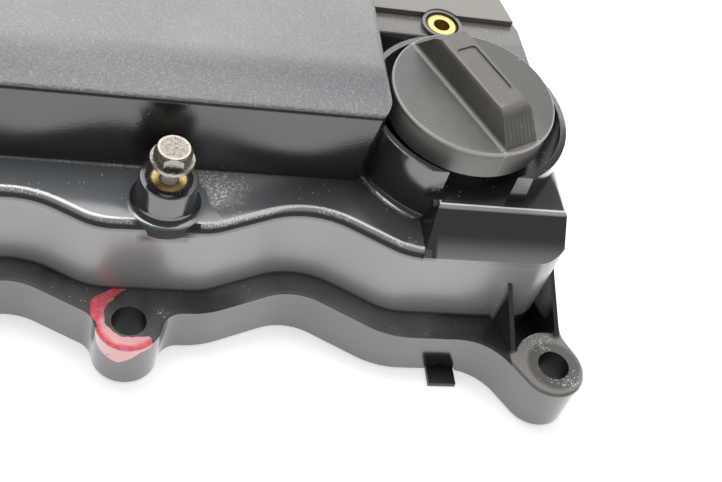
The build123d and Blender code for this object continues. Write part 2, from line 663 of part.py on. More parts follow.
    # Gasket channel, the nick over the gasket tab, and the pocket and webs of the right ear
    with BuildSketch(Plane.XY.offset(FLANGE_FOOT_Z)):
        closed_profile(rail_runs, CHANNEL_EDGE)
        with BuildSketch(mode=Mode.PRIVATE) as channel_inside:
            closed_profile(rail_runs, CHANNEL_EDGE + CHANNEL_WIDTH)
        add(channel_inside.sketch, mode=Mode.SUBTRACT)
    extrude(amount=CHANNEL_TOP_Z - FLANGE_FOOT_Z, mode=Mode.SUBTRACT)
    with BuildSketch(Plane.XZ.offset(-FRONT_CORNER_Y - 4)):
        Polygon(
            (TAB_LEFT_X - 0.6, 0.5),
            (TAB_LEFT_X - 0.6, 2.2),
            (TAB_LEFT_X + 2.0, 2.4),
            (TAB_LEFT_X + 3.8, 4.2),
            (TAB_LEFT_X + 6.2, 2.5),
            (TAB_RIGHT_X + 0.6, 2.2),
            (TAB_RIGHT_X + 0.6, 0.5),
            align=None,
        )
    extrude(amount=5, mode=Mode.SUBTRACT)
    with BuildSketch(Plane.XY.offset(EAR_POCKET_Z)):
        Polygon(LEFT_GUSSET[0], LEFT_GUSSET[1], RIGHT_GUSSET[1], RIGHT_GUSSET[0], align=None)
        with Locations((EAR_X, EAR_Y)):
            Circle(EAR_PAD_RADIUS, mode=Mode.SUBTRACT)
        add(wall_plan.sketch, mode=Mode.SUBTRACT)
    extrude(amount=20, mode=Mode.SUBTRACT)
    gusset(LEFT_GUSSET)
    gusset(RIGHT_GUSSET)
cover_shell.part.label = "cover_shell"
export_step(cover_shell.part, "parts/cover_shell.step")

# ---------------------------------------------------------------- perimeter gasket with its tab
with BuildPart() as perimeter_gasket:
    with BuildSketch():
        closed_profile(rail_runs, CHANNEL_EDGE + GASKET_CLEARANCE)
        with BuildSketch(mode=Mode.PRIVATE) as gasket_inside:
            closed_profile(rail_runs, CHANNEL_EDGE + CHANNEL_WIDTH - GASKET_CLEARANCE)
        add(gasket_inside.sketch, mode=Mode.SUBTRACT)
    extrude(amount=GASKET_HEIGHT)
    with BuildSketch():
        tab_root_y = FRONT_CORNER_Y + CHANNEL_EDGE + 2
        with Locations((TAB_LEFT_X, tab_root_y)):
            Rectangle(TAB_RIGHT_X - TAB_LEFT_X, tab_root_y - TAB_TIP_Y, align=(Align.MIN, Align.MAX))
    extrude(amount=TAB_THICKNESS)
perimeter_gasket.part.label = "perimeter_gasket"
export_step(perimeter_gasket.part, "parts/perimeter_gasket.step")

# ---------------------------------------------------------------- filler cap and its seal
with BuildPart() as oil_filler_cap:
    face_foot_z = CAP_FACE_Z - CAP_FACE_THICKNESS
    lip_foot_z = CAP_FACE_Z - CAP_LIP
    with BuildSketch(Plane.XZ):
        with BuildLine():
            FilletPolyline(
                (0, CAP_FACE_Z),
                (CAP_RADIUS, CAP_FACE_Z),
                (CAP_RADIUS, lip_foot_z),
                (CAP_SKIRT_RADIUS, lip_foot_z - 0.8),
                radius=[0.8, 0.5],
            )
            Polyline(
                (CAP_SKIRT_RADIUS, lip_foot_z - 0.8),
                (CAP_SKIRT_RADIUS, CAP_SKIRT_FOOT_Z),
                (CAP_SKIRT_RADIUS - CAP_SKIRT_WALL, CAP_SKIRT_FOOT_Z),
                (CAP_SKIRT_RADIUS - CAP_SKIRT_WALL, face_foot_z),
                (SPIGOT_RADIUS, face_foot_z),
                (SPIGOT_RADIUS, SPIGOT_FOOT_Z),
                (SPIGOT_RADIUS - SPIGOT_WALL, SPIGOT_FOOT_Z),
                (SPIGOT_RADIUS - SPIGOT_WALL, face_foot_z),
                (0, face_foot_z),
                (0, CAP_FACE_Z),
            )
        make_face()
    revolve(axis=Axis.Z)

with BuildPart() as grip_bar:
    with BuildSketch(Plane.XZ):
        with BuildLine():
            FilletPolyline(
                (-GRIP_HALF_LENGTH, CAP_FACE_Z - 1),
                (-GRIP_HALF_LENGTH, CAP_FACE_Z),
                (-GRIP_FLAT_HALF - 2.5, GRIP_TOP_Z),
                (GRIP_FLAT_HALF + 2.5, GRIP_TOP_Z),
                (GRIP_HALF_LENGTH, CAP_FACE_Z),
                (GRIP_HALF_LENGTH, CAP_FACE_Z - 1),
                radius=[0.5, 7.0, 7.0, 0.5],
            )
            Line((GRIP_HALF_LENGTH, CAP_FACE_Z - 1), (-GRIP_HALF_LENGTH, CAP_FACE_Z - 1))
        make_face()
    extrude(amount=GRIP_WIDTH, both=True)
    with BuildSketch(Plane.YZ):
        with BuildLine():
            FilletPolyline(
                (-GRIP_WIDTH / 2 - 2, CAP_FACE_Z - 1),
                (-GRIP_WIDTH / 2 - 2, CAP_FACE_Z),
                (-GRIP_WIDTH / 2, CAP_FACE_Z),
                (-GRIP_TOP_WIDTH / 2, GRIP_TOP_Z),
                (GRIP_TOP_WIDTH / 2, GRIP_TOP_Z),
                (GRIP_WIDTH / 2, CAP_FACE_Z),
                (GRIP_WIDTH / 2 + 2, CAP_FACE_Z),
                (GRIP_WIDTH / 2 + 2, CAP_FACE_Z - 1),
                radius=[0.01, 1.8, GRIP_EDGE, GRIP_EDGE, 1.8, 0.01],
            )
            Line((GRIP_WIDTH / 2 + 2, CAP_FACE_Z - 1), (-GRIP_WIDTH / 2 - 2, CAP_FACE_Z - 1))
        make_face()
    extrude(amount=GRIP_HALF_LENGTH, both=True, mode=Mode.INTERSECT)
    with BuildSketch(Plane.XY.offset(GRIP_TOP_Z - PANEL_DEPTH)):
        RectangleRounded(PANEL_LENGTH, PANEL_WIDTH, 1.5)
    extrude(amount=2, mode=Mode.SUBTRACT)

with BuildPart() as cap_assembly:
    with Locations(Location((TOWER_X, TOWER_Y, 0), (0, 0, GRIP_ANGLE))):
        add(oil_filler_cap.part)
        add(grip_bar.part)
cap_assembly.part.label = "oil_filler_cap"
export_step(cap_assembly.part, "parts/oil_filler_cap.step")


def ring(x, y, bottom, top, outer, inner):
    """A plain ring between two heights; called inside a part."""
    with Locations((x, y, (bottom + top) / 2)):
        Cylinder(outer, top - bottom)
        Cylinder(inner, top - bottom, mode=Mode.SUBTRACT)


with BuildPart() as filler_cap_seal:
    ring(TOWER_X, TOWER_Y, NECK_TOP_Z, face_foot_z, CAP_SEAL_OUTER, CAP_SEAL_INNER)
filler_cap_seal.part.label = "filler_cap_seal"
export_step(filler_cap_seal.part, "parts/filler_cap_seal.step")

# ---------------------------------------------------------------- threaded inserts and the flange bolt
with BuildPart() as front_boss_insert:
    insert_top_z = FRONT_BOSS_TOP_Z - INSERT_RECESS
    ring(FRONT_BOSS_X, FRONT_BOSS_Y, insert_top_z - INSERT_LENGTH, insert_top_z,
         INSERT_RADIUS, M6_RADIUS + THREAD_FIT)
front_boss_insert.part.label = "front_boss_insert"
export_step(front_boss_insert.part, "parts/front_boss_insert.step")

with BuildPart() as rear_boss_insert:
    rear_insert_top_z = REAR_BOSS_TOP_Z - INSERT_RECESS
    ring(REAR_BOSS_X, REAR_BOSS_Y, rear_insert_top_z - INSERT_LENGTH, rear_insert_top_z,
         INSERT_RADIUS, M6_RADIUS + THREAD_FIT)
rear_boss_insert.part.label = "rear_boss_insert"
export_step(rear_boss_insert.part, "parts/rear_boss_insert.step")

with BuildPart() as bracket_bolt:
    head_radius = BOLT_ACROSS_FLATS / 2 / cos(radians(30))
    flange_top_z = BOLT_FLANGE_Z + BOLT_FLANGE_THICKNESS
    with BuildSketch(Plane.XY.offset(flange_top_z)):
        with Locations((FRONT_BOSS_X, FRONT_BOSS_Y)):
            RegularPolygon(head_radius, 6)
    extrude(amount=BOLT_HEAD_TOP_Z - flange_top_z)
    with Locations((FRONT_BOSS_X, FRONT_BOSS_Y, BOLT_HEAD_TOP_Z - 2.5)):
        Cone(head_radius + 2.6, head_radius - 0.9, 5, mode=Mode.INTERSECT)
    with Locations((FRONT_BOSS_X, FRONT_BOSS_Y, BOLT_FLANGE_Z + BOLT_FLANGE_THICKNESS / 2)):
        Cylinder(BOLT_FLANGE_RADIUS, BOLT_FLANGE_THICKNESS)
    with Locations((FRONT_BOSS_X, FRONT_BOSS_Y, BOLT_FLANGE_Z - BOLT_SHANK / 2)):
        Cylinder(M6_RADIUS - THREAD_FIT, BOLT_SHANK)
    chamfer(bracket_bolt.edges().group_by(Axis.Z)[0], length=0.8)
bracket_bolt.part.label = "bracket_bolt"
export_step(bracket_bolt.part, "parts/bracket_bolt.step")

with BuildPart() as coil_inserts:
    for x, y in coil_bolts:
        ring(x, y, pad_top_z - COIL_INSERT_LENGTH, pad_top_z, COIL_INSERT_RADIUS, M6_RADIUS + THREAD_FIT)
coil_inserts.part.label = "coil_inserts"
export_step(coil_inserts.part, "parts/coil_inserts.step")

# ---------------------------------------------------------------- plug well seals
for number, (x, y) in enumerate(sorted(wells), start=1):
    with BuildPart() as plug_well_seal:
        ring(x, y, WELL_FOOT_Z - 1, WELL_FOOT_Z + SEAL_HEIGHT, SEAL_SEAT_RADIUS - SEAL_FIT / 2,
             SEAL_BORE_RADIUS)
    plug_well_seal.part.label = f"plug_well_seal_{number}"
    export_step(plug_well_seal.part, f"parts/plug_well_seal_{number}.step")

# ---------------------------------------------------------------- oil separator baffle and screws
with BuildPart() as separator_baffle:
    with BuildSketch(Plane.XY.offset(BAFFLE_Z)):
        with Locations((frame_x, (BAFFLE_FRONT_Y + BAFFLE_REAR_Y) / 2)):
            RectangleRounded(BAFFLE_RIGHT_X - BAFFLE_LEFT_X, BAFFLE_REAR_Y - BAFFLE_FRONT_Y, 3)
        with Locations(*baffle_screws_at):
            Circle(SCREW_RADIUS + 0.35, mode=Mode.SUBTRACT)
        with Locations((-80, -29), (-50, -29), (60, -29)):
            Circle(4, mode=Mode.SUBTRACT)
    extrude(amount=BAFFLE_THICKNESS)
separator_baffle.part.label = "separator_baffle"
export_step(separator_baffle.part, "parts/separator_baffle.step")

with BuildPart() as baffle_screws:
    for x, y in baffle_screws_at:
        with Locations((x, y, BAFFLE_Z - SCREW_HEAD_HEIGHT / 2)):
            Cylinder(SCREW_HEAD_RADIUS, SCREW_HEAD_HEIGHT)
        with Locations((x, y, BAFFLE_Z + SCREW_LENGTH / 2)):
            Cylinder(SCREW_RADIUS, SCREW_LENGTH)
baffle_screws.part.label = "baffle_screws"
export_step(baffle_screws.part, "parts/baffle_screws.step")

# ---------------------------------------------------------------- crankcase vent valve and its seal
with BuildPart() as crankcase_vent_valve:
    collar_z = VALVE_BOSS_TOP_Z + 1.5
    with BuildSketch(Plane.XZ):
        Polygon(
            (2.5, VALVE_FOOT_Z),
            (VALVE_SEAT_RADIUS - 0.1, VALVE_FOOT_Z),
            (VALVE_SEAT_RADIUS - 0.1, collar_z),
            (VALVE_BOSS_RADIUS - 0.6, collar_z),
            (VALVE_BOSS_RADIUS - 0.6, collar_z + 3),
            (4.6, collar_z + 4),
            (4.6, collar_z + 13),
            (5.2, collar_z + 13),
            (4.0, collar_z + 17),
            (2.5, collar_z + 17),
            align=None,
        )
    revolve(axis=Axis.Z)
with BuildPart() as placed_valve:
    with Locations((VALVE_X, VALVE_Y, 0)):
        add(crankcase_vent_valve.part)
placed_valve.part.label = "crankcase_vent_valve"
export_step(placed_valve.part, "parts/crankcase_vent_valve.step")

with BuildPart() as vent_valve_seal:
    ring(VALVE_X, VALVE_Y, VALVE_BOSS_TOP_Z, collar_z, VALVE_BOSS_RADIUS - 0.8, VALVE_SEAT_RADIUS + 0.2)
vent_valve_seal.part.label = "vent_valve_seal"
export_step(vent_valve_seal.part, "parts/vent_valve_seal.step")
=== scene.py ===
"""Engine valve cover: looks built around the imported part, in metres, in the part's own frame."""

import json
import math

import bmesh
import bpy
import numpy as np
from mathutils import Matrix, Vector

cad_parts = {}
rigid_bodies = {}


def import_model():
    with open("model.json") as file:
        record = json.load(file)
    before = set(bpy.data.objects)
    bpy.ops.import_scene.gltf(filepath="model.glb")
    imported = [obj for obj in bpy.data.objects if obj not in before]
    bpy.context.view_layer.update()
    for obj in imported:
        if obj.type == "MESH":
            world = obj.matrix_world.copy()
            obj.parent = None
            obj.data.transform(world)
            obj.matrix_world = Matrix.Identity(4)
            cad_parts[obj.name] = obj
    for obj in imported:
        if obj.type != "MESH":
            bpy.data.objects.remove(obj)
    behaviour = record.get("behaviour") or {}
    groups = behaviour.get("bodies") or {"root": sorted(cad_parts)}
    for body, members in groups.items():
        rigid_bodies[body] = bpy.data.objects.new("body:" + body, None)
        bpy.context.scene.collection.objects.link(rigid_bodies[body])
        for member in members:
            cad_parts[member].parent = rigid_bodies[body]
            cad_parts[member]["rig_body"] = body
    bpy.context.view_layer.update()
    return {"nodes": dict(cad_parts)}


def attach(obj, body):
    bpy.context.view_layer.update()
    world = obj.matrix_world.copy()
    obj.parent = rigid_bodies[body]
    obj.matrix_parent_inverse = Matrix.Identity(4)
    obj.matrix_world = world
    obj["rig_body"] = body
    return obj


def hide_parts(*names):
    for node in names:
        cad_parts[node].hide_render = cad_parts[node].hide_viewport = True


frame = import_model()
nodes = frame["nodes"]
scene = bpy.context.scene
scene.view_settings.view_transform = "Standard"

# ---------------------------------------------------------------- moulded cover
# One large moulding in black glass-filled nylon, glossy from a polished tool. The top of the raised
# body has an eroded grain that looks matt and grey, and old oil and dust have dulled the rear
# platform and the ear. White dust sits in flecks on the ledges; along the round edges flecks and
# pale lines are dust and painted highlight, and grey tones on the walls and deck are painted
# reflections.

MERGE_DISTANCE = 2e-6
SMOOTH_BELOW = math.radians(32.0)


def smooth_copy(node, materials, pick=None):
    """A merged copy of a CAD node shown in its place: edges that bend less than SMOOTH_BELOW are
    shaded smooth, and pick(centres, normals) gives each face the number of its material."""
    mesh = nodes[node].data.copy()
    mesh.name = node + "_look"
    bm = bmesh.new()
    bm.from_mesh(mesh)
    bmesh.ops.remove_doubles(bm, verts=bm.verts, dist=MERGE_DISTANCE)
    for face in bm.faces:
        face.smooth = True
    for edge in bm.edges:
        edge.smooth = len(edge.link_faces) == 2 and edge.calc_face_angle(0.0) < SMOOTH_BELOW
    bm.to_mesh(mesh)
    bm.free()
    mesh.materials.clear()
    for material in materials:
        mesh.materials.append(material)
    if pick is not None:
        count = len(mesh.polygons)
        centres = np.empty(count * 3)
        normals = np.empty(count * 3)
        mesh.polygons.foreach_get("center", centres)
        mesh.polygons.foreach_get("normal", normals)
        numbers = pick(centres.reshape(-1, 3), normals.reshape(-1, 3))
        mesh.polygons.foreach_set("material_index", numbers.astype(np.int32))
    piece = bpy.data.objects.new(node + "_look", mesh)
    scene.collection.objects.link(piece)
    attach(piece, nodes[node]["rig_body"])
    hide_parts(node)
    return piece


def add_node(tree, kind, **settings):
    """A node in a tree, with its properties set."""
    made = tree.nodes.new(kind)
    for key, value in settings.items():
        setattr(made, key, value)
    return made


def join(tree, made, **values):
    """Sets a node's inputs: a number stays on the socket, and another node's output is linked. A
    key is the socket's name with underscores for spaces, or i and its number. Colours have three
    parts."""
    for key, value in values.items():
        numbered = key[0] == "i" and key[1:].isdigit()
        socket = made.inputs[int(key[1:]) if numbered else key.replace("_", " ")]
        if isinstance(value, bpy.types.NodeSocket):
            tree.links.new(value, socket)
        else:
            socket.default_value = (*value, 1.0) if socket.type == "RGBA" else value
    return made


def maths(tree, operation, first, second=0.5, clamp=False):
    """The output of a Math node."""
    made = add_node(tree, "ShaderNodeMath", operation=operation, use_clamp=clamp)
    return join(tree, made, i0=first, i1=second).outputs[0]


def times(tree, first, *factors):
    """The product of some values."""
    for factor in factors:
        first = maths(tree, "MULTIPLY", first, factor)
    return first


def ramp(tree, value, low, high, out_low=0.0, out_high=1.0):
    """A smooth step of a value from one level to another."""
    made = add_node(tree, "ShaderNodeMapRange", interpolation_type="SMOOTHSTEP")
    return join(tree, made, i0=value, i1=low, i2=high, i3=out_low, i4=out_high).outputs[0]


def layered(tree, colour, *layers):
    """A colour with layers laid over it in turn, each of them a factor and a colour."""
    for factor, over in layers:
        made = add_node(tree, "ShaderNodeMix", data_type="RGBA")
        colour = join(tree, made, i0=factor, i6=colour, i7=over).outputs[2]
    return colour


def parts(tree, vector):
    """The x, y and z of a vector."""
    return join(tree, add_node(tree, "ShaderNodeSeparateXYZ"), Vector=vector).outputs


def position(tree):
    """The x, y and z of the shaded point in the part's frame."""
    place = add_node(tree, "ShaderNodeTexCoord")
    return parts(tree, place.outputs["Object"])


def shade(name, color, roughness, metallic=0.0, ior=1.5, level=0.5, coat=0.0):
    """A principled material whose constants sit on the shader's own sockets."""
    material = bpy.data.materials.new(name)
    material.use_nodes = True
    shader = material.node_tree.nodes["Principled BSDF"]
    join(material.node_tree, shader, Base_Color=color, Roughness=roughness, Metallic=metallic,
         IOR=ior, Specular_IOR_Level=level, Coat_Weight=coat)
    return material, material.node_tree, shader


def new_group(name, inputs, outputs):
    """An empty shader node group, from the names and kinds of its sockets."""
    group = bpy.data.node_groups.new(name, "ShaderNodeTree")
    for way, sockets in (("INPUT", inputs), ("OUTPUT", outputs)):
        for label, kind in sockets.items():
            group.interface.new_socket(label, in_out=way, socket_type=kind)
    return group, add_node(group, "NodeGroupInput"), add_node(group, "NodeGroupOutput")


NUMBER = "NodeSocketFloat"
VECTOR = "NodeSocketVector"

# Dust flecks: a few cells of a Voronoi pattern hold a small round fleck, and cloudy noise sets
# how many. Each fleck has its own size and strength.
flecks, came, gone = new_group("dust_flecks", {"Scale": NUMBER, "Amount": NUMBER, "Size": NUMBER},
                               {"Mask": NUMBER})
place = add_node(flecks, "ShaderNodeTexCoord")
cells = join(flecks, add_node(flecks, "ShaderNodeTexVoronoi"), Vector=place.outputs["Object"],
             Scale=came.outputs["Scale"])
drawn = join(flecks, add_node(flecks, "ShaderNodeSeparateColor"), Color=cells.outputs["Color"])
luck, girth, strength = drawn.outputs
clouds = join(flecks, add_node(flecks, "ShaderNodeTexNoise"), Vector=place.outputs["Object"],
              Scale=90.0, Detail=3.0)
chance = times(flecks, came.outputs["Amount"], ramp(flecks, clouds.outputs["Fac"], 0.42, 0.66))
kept = maths(flecks, "LESS_THAN", luck, chance)
reach = times(flecks, came.outputs["Size"], maths(flecks, "ADD", girth, 0.3))
near = maths(flecks, "LESS_THAN", cells.outputs["Distance"], reach)
bright = maths(flecks, "ADD", times(flecks, strength, 0.8), 0.2)
join(flecks, gone, Mask=times(flecks, kept, near, bright))

# Box mask: one inside a box of the part, down to zero at its faces over a soft edge
zone, came, gone = new_group("box_zone", {"Low": VECTOR, "High": VECTOR, "Soft": NUMBER},
                             {"Mask": NUMBER})
spot = position(zone)
low = parts(zone, came.outputs["Low"])
high = parts(zone, came.outputs["High"])
inside = 1.0
for axis in range(3):
    above = maths(zone, "SUBTRACT", spot[axis], low[axis])
    below = maths(zone, "SUBTRACT", high[axis], spot[axis])
    for depth in (above, below):
        share = maths(zone, "DIVIDE", depth, came.outputs["Soft"], clamp=True)
        inside = times(zone, inside, share)
join(zone, gone, Mask=inside)

# Disc mask: one inside an upright cylinder of the part, down to zero at its radius
disc, came, gone = new_group(
    "disc_zone", {"X": NUMBER, "Y": NUMBER, "Radius": NUMBER, "Soft": NUMBER}, {"Mask": NUMBER})
spot = position(disc)
off_x = maths(disc, "POWER", maths(disc, "SUBTRACT", spot[0], came.outputs["X"]), 2.0)
off_y = maths(disc, "POWER", maths(disc, "SUBTRACT", spot[1], came.outputs["Y"]), 2.0)
gap = maths(disc, "SQRT", maths(disc, "ADD", off_x, off_y))
depth = maths(disc, "SUBTRACT", came.outputs["Radius"], gap)
join(disc, gone, Mask=maths(disc, "DIVIDE", depth, came.outputs["Soft"], clamp=True))

# Eroded grain: fine pebbled noise as a height, with a slow cloud that changes its shade
grain, came, gone = new_group("eroded_grain", {"Scale": NUMBER},
                              {"Height": NUMBER, "Cloud": NUMBER})
place = add_node(grain, "ShaderNodeTexCoord")
fine = join(grain, add_node(grain, "ShaderNodeTexNoise"), Vector=place.outputs["Object"],
            Scale=came.outputs["Scale"], Detail=2.0, Roughness=0.6)
slow = join(grain, add_node(grain, "ShaderNodeTexNoise"), Vector=place.outputs["Object"],
            Scale=22.0, Detail=4.0)
join(grain, gone, Height=fine.outputs["Fac"], Cloud=slow.outputs["Fac"])


def put(tree, group, **values):
    """The outputs of a group node with its inputs set."""
    return join(tree, add_node(tree, "ShaderNodeGroup", node_tree=group), **values).outputs


def specked(tree, scale, amount, size):
    """Mask of the dust flecks."""
    return put(tree, flecks, Scale=scale, Amount=amount, Size=size)["Mask"]


def box(tree, x, y, z, soft):
    """Mask of a box of the part, from its ranges along the axes."""
    return put(tree, zone, Low=(x[0], y[0], z[0]), High=(x[1], y[1], z[1]), Soft=soft)["Mask"]


def column(tree, centre, radius, soft):
    """Mask of an upright cylinder of the part."""
    return put(tree, disc, X=centre[0], Y=centre[1], Radius=radius, Soft=soft)["Mask"]


def bump(tree, shader, height, strength, distance):
    """Feeds a height to the shader's normal through a Bump node."""
    made = join(tree, add_node(tree, "ShaderNodeBump"), Strength=strength, Distance=distance,
                Height=height)
    join(tree, shader, Normal=made.outputs["Normal"])


def finish(made, scale, tones, rough=None, relief=None, specks=None, tone_by="Cloud",
           rough_by="Cloud"):
    """Dresses a material from shade() in grain of a scale, and gives the material. Flecks from
    specks, or else the grain's Cloud or Height, pick between two tones. The grain picks between the
    two roughnesses of rough, and relief is the strength and distance of its bump."""
    material, tree, shader = made
    waves = put(tree, grain, Scale=scale)
    factor = specked(tree, *specks) if specks else waves[tone_by]
    join(tree, shader, Base_Color=layered(tree, tones[0], (factor, tones[1])))
    if rough:
        join(tree, shader, Roughness=ramp(tree, waves[rough_by], 0.3, 0.7, *rough))
    if relief:
        bump(tree, shader, waves["Height"], *relief)
    return material


BOLT_BOSS = (0.0590, -0.0945)
EAR_HOLE = (0.2002, -0.1058)
FRONT_INSERT = (0.0671, -0.0710)
FLANGE_TOP = 0.0200
DECK_TOP = 0.0520
BOX_TOP = 0.0620
BODY_LIP = 0.0785
BODY_RIGHT = 0.1355
ANYWHERE = (-0.3, 0.3)

# Polished nylon of the walls, ledges, deck and corner box
nylon, tree, shader = shade("black_nylon", (0.012, 0.012, 0.013), 0.14, ior=1.66, level=1.0)
height, cloud = put(tree, grain, Scale=1200.0)
x, y, z = position(tree)
facing = add_node(tree, "ShaderNodeNewGeometry")
up = parts(tree, facing.outputs["Normal"])[2]
round_edge = times(tree, ramp(tree, up, 0.7, 0.88), ramp(tree, up, 1.0, 0.985))
level_face = ramp(tree, up, 0.85, 0.98)
steep_face = ramp(tree, up, 0.45, 0.2)
ear = box(tree, (0.1850, 0.2150), (-0.1190, -0.0925), (FLANGE_TOP - 0.0012, FLANGE_TOP + 0.0010),
          0.0005)
ear_rim = column(tree, EAR_HOLE, 0.0100, 0.0015)
boss_side = column(tree, (0.0675, -0.0935), 0.0055, 0.0025)
boss_foot = column(tree, FRONT_INSERT, 0.0142, 0.0012)
flange_edge = box(tree, ANYWHERE, ANYWHERE, (FLANGE_TOP - 0.0011, FLANGE_TOP + 0.0004), 0.0002)
walls = box(tree, (-0.3, 0.2010), (-0.0895, 0.3), (FLANGE_TOP + 0.0003, DECK_TOP - 0.0020), 0.0016)
deck_rim = box(tree, (-0.25, 0.151), (-0.1, 0.1), (DECK_TOP - 0.0025, DECK_TOP + 0.0004), 0.0004)
deck = box(tree, ANYWHERE, (-0.1, 0.1), (DECK_TOP - 0.0015, DECK_TOP + 0.0015), 0.0005)
deck_face = times(tree, level_face, deck)
box_rim = box(tree, (0.13, 0.21), (-0.1, 0.0), (BOX_TOP - 0.0012, BOX_TOP + 0.0004), 0.0004)
box_foot = box(tree, (0.1520, 0.2100), (-0.0900, -0.0700), (0.0480, 0.0700), 0.0010)
step = (BOX_TOP - 0.0015, BOX_TOP + 0.0040)
platform = box(tree, (BODY_RIGHT, 0.2), (0.0160, 0.09), step, 0.0008)
apron = box(tree, (BODY_RIGHT, 0.2), (0.0050, 0.09), step, 0.0008)

# Dust lies thinly on level faces and thick on the ear and beside the bolt boss; along the rims the
# dense flecks are dust and painted highlight together
rim_dust_and_highlight = times(tree, round_edge, maths(tree, "MAXIMUM", deck_rim, box_rim),
                   maths(tree, "SUBTRACT", 1.0, boss_foot))
rim_dust_and_glints = times(tree, specked(tree, 1900.0, 1.6, 0.46), rim_dust_and_highlight)
on_ledges = times(tree, specked(tree, 1500.0, 0.10, 0.26), level_face)
thick_here = maths(tree, "MAXIMUM", ear, times(tree, boss_side, level_face))
thick = times(tree, specked(tree, 2000.0, 1.2, 0.4), thick_here)
dust_and_glints = maths(tree, "ADD", rim_dust_and_glints, on_ledges, clamp=True)
dust_and_glints = maths(tree, "MAXIMUM", dust_and_glints, thick)
dust_and_glints = maths(tree, "MAXIMUM", dust_and_glints, specked(tree, 420.0, 0.04, 0.1))

# An oily film dulls the platform and the ear, less where a washer has sat on the ear
washer_mark = maths(tree, "SUBTRACT", 0.6, times(tree, ear_rim, 0.35))
film = maths(tree, "ADD", times(tree, platform, 0.45), times(tree, apron, 0.5))
film = times(tree, ramp(tree, cloud, 0.2, 0.7, 0.75, 1.0), film)
film = maths(tree, "ADD", film, times(tree, ear, washer_mark), clamp=True)

# Painted reflection: a grey tone on the front walls and the foot of the corner box, but not the
# insert boss, stands for the bright table mirrored in them
boss_wall = times(tree, boss_foot, ramp(tree, z, 0.0440, 0.0470))
painted_wall_light = times(tree, steep_face, walls, maths(tree, "SUBTRACT", 1.0, boss_wall),
             ramp(tree, y, -0.0200, -0.0600, 0.25, 1.0))
painted_box_light = times(tree, box_foot, ramp(tree, z, 0.0560, 0.0500, 0.0, 0.85),
                 ramp(tree, up, 0.9, 0.8))
painted_wall_light = maths(tree, "MAXIMUM", painted_wall_light, painted_box_light)

colour = layered(
    tree, (0.018, 0.018, 0.019),
    # Painted reflection: level faces a little lighter, and the deck lighter still and bluer on its
    # left, standing for the room and window mirrored in them
    (level_face, (0.028, 0.028, 0.028)),
    (deck_face, (0.062, 0.063, 0.065)),
    # painted reflection of the table on the front walls and the box foot
    (painted_wall_light, (0.27, 0.268, 0.262)),
    (times(tree, ramp(tree, x, 0.118, 0.075), deck_face), (0.135, 0.146, 0.16)),
    (film, (0.27, 0.243, 0.212)),
    # Painted highlight along the flange's top edge, patchy with the cloud
    (times(tree, flange_edge, ramp(tree, cloud, 0.4, 0.6, 0.0, 0.4)), (0.30, 0.30, 0.29)),
    # Painted highlights: a pale band along the rims of the deck and the box, and a near-white line
    # along the box's top edge
    (times(tree, rim_dust_and_highlight, 0.6), (0.42, 0.42, 0.41)),
    (times(tree, round_edge, box_rim, 0.9), (0.95, 0.95, 0.93)),
    (dust_and_glints, (0.8, 0.8, 0.78)))
rough = ramp(tree, cloud, 0.35, 0.75, 0.11, 0.2)
for layer, added in ((film, 0.32), (painted_wall_light, 0.16), (dust_and_glints, 0.4)):
    rough = maths(tree, "ADD", rough, times(tree, layer, added), clamp=True)
join(tree, shader, Base_Color=colour, Roughness=rough)
bump(tree, shader, maths(tree, "ADD", times(tree, height, 0.12), dust_and_glints), 0.25, 0.0002)

# Grained top of the raised body; its darker, bluer tone on the shoulder along the front is painted
# shade
body_top, tree, shader = shade("body_grain", (0.19, 0.19, 0.193), 0.42, ior=1.7, level=1.0)
height, cloud = put(tree, grain, Scale=1250.0)
x, y, z = position(tree)
shoulder = (-0.033, -0.042)
colour = layered(
    tree, (0.16, 0.163, 0.17),
    (ramp(tree, cloud, 0.3, 0.7), (0.215, 0.213, 0.21)),
    (ramp(tree, y, *shoulder), (0.085, 0.092, 0.104)),
    (ramp(tree, height, 0.45, 0.75, 0.0, 0.55), (0.33, 0.33, 0.33)),
    (specked(tree, 500.0, 0.07, 0.2), (0.6, 0.6, 0.58)))
join(tree, shader, Base_Color=colour, Roughness=ramp(tree, y, *shoulder, 0.40, 0.52))
bump(tree, shader, height, 0.6, 0.0004)

# Satin sides of the raised body
body_side = finish(shade("body_side", (0.018, 0.018, 0.019), 0.2, ior=1.55, level=0.9), 1400.0,
                   ((0.018, 0.018, 0.019), (0.4, 0.4, 0.38)), rough=(0.16, 0.24),
                   relief=(0.2, 0.0002), specks=(600.0, 0.05, 0.16))

# Bolt holes and the hollow underside, as they left the mould; the same dull nylon is painted shade
# at the foot of the insert boss
raw = finish(shade("raw_nylon", (0.016, 0.016, 0.016), 0.5, level=0.3), 900.0,
             ((0.012, 0.012, 0.012), (0.024, 0.023, 0.022)), rough=(0.42, 0.58),
             relief=(0.2, 0.0002))

POLISHED, GRAINED, SATIN, MOULDED_AND_SHADE = range(4)
HOLE_REACH = 0.0056
SHADED_FOOT_REACH = 0.0140


